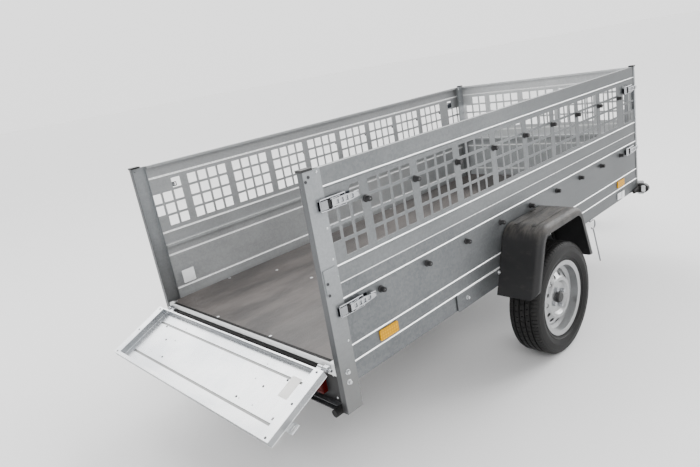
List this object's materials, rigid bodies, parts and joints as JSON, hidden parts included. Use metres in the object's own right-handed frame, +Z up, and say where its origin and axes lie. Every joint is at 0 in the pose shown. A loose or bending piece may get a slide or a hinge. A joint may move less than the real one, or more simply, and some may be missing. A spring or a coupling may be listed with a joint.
{
  "type": "utility trailer",
  "caption": "Utility trailer with beaded steel sides, mesh side extensions, a drop tailgate, black fenders, a V drawbar with a ball coupling and a jockey wheel.",
  "frame": {"origin": "on the floor, under the middle of the trailer's length and width as it stands with its tailgate open", "axes": "+X forward to the coupling, +Y left, +Z up"},
  "size_m": [4.006, 1.69, 1.213],
  "materials": {
    "galvanised": "spangled zinc, satin",
    "bright_zinc": "bright zinc, satin",
    "plywood": "film-faced, dark brown",
    "tyre": "matte rubber",
    "silver_paint": "silver enamel",
    "black_plastic": "grained black",
    "dark_steel": "black enamel",
    "red_lens": "clear red",
    "amber_lens": "clear amber",
    "grey_rubber": "solid rubber"
  },
  "bodies": {
    "chassis": {"side_panel_left": "galvanised", "side_panel_right": "galvanised", "mesh_panel_left": "galvanised", "mesh_panel_right": "galvanised", "front_panel": "galvanised", "mesh_panel_front": "galvanised", "rear_posts": "galvanised", "rear_mesh_posts": "galvanised", "front_posts": "galvanised", "front_mesh_posts": "galvanised", "post_caps": "black_plastic", "splice_plates": "galvanised", "floor_board": "plywood", "rear_sill": "bright_zinc", "rail_left": "galvanised", "rail_right": "galvanised", "cross_members": "galvanised", "axle_tube": "galvanised", "axle_brackets": "galvanised", "swing_arm_left": "dark_steel", "swing_arm_right": "dark_steel", "fender_left": "black_plastic", "fender_right": "black_plastic", "side_plates": "galvanised", "hinge_lugs": "bright_zinc", "drawbar_left": "galvanised", "drawbar_right": "galvanised", "jockey_clamp": "galvanised", "coupling_head": "galvanised", "coupling_lever": "black_plastic", "light_board": "black_plastic", "tail_lamps": "red_lens", "rear_bar": "dark_steel", "rear_buffers": "black_plastic", "side_reflectors": "amber_lens", "marker_brackets": "galvanised", "marker_lamps": "black_plastic", "corner_latches": "bright_zinc", "rope_knobs_left": "black_plastic", "rope_knobs_right": "black_plastic", "rope_knobs_front": "black_plastic", "side_hook": "bright_zinc"},
    "wheel_left": {"tyre_left": "tyre", "rim_left": "silver_paint", "hub_left": "dark_steel", "hub_cap_left": "black_plastic"},
    "wheel_right": {"tyre_right": "tyre", "rim_right": "silver_paint", "hub_right": "dark_steel", "hub_cap_right": "black_plastic"},
    "tailgate": {"tailgate_panel": "bright_zinc", "hinge_knuckles": "bright_zinc", "gate_catches": "bright_zinc"},
    "jockey_leg": {"jockey_tube": "galvanised", "jockey_crank": "galvanised"},
    "jockey_caster": {"jockey_fork": "galvanised", "jockey_stem": "bright_zinc"},
    "jockey_wheel": {"jockey_tyre": "grey_rubber", "jockey_rim": "silver_paint"}
  },
  "joints": [
    {"name": "wheel_left_spin", "type": "hinge", "parent": "chassis", "child": "wheel_left", "pos_m": [-0.39696, 0.7525, 0.2735], "axis": [0, 1, 0], "continuous": true},
    {"name": "wheel_right_spin", "type": "hinge", "parent": "chassis", "child": "wheel_right", "pos_m": [-0.39696, -0.7525, 0.2735], "axis": [0, 1, 0], "continuous": true},
    {"name": "tailgate_hinge", "type": "hinge", "parent": "chassis", "child": "tailgate", "pos_m": [-1.69196, 0, 0.498], "axis": [0, 1, 0], "range_deg": [0, 113.2]},
    {"name": "jockey_slide", "type": "slide", "parent": "chassis", "child": "jockey_leg", "axis": [0, 0, 1], "range_m": [0, 0.16]},
    {"name": "jockey_swivel", "type": "hinge", "parent": "jockey_leg", "child": "jockey_caster", "pos_m": [1.51604, 0, 0.3], "axis": [0, 0, 1], "continuous": true},
    {"name": "jockey_wheel_spin", "type": "hinge", "parent": "jockey_caster", "child": "jockey_wheel", "pos_m": [1.47104, 0, 0.1], "axis": [0, 1, 0], "continuous": true}
  ]
}
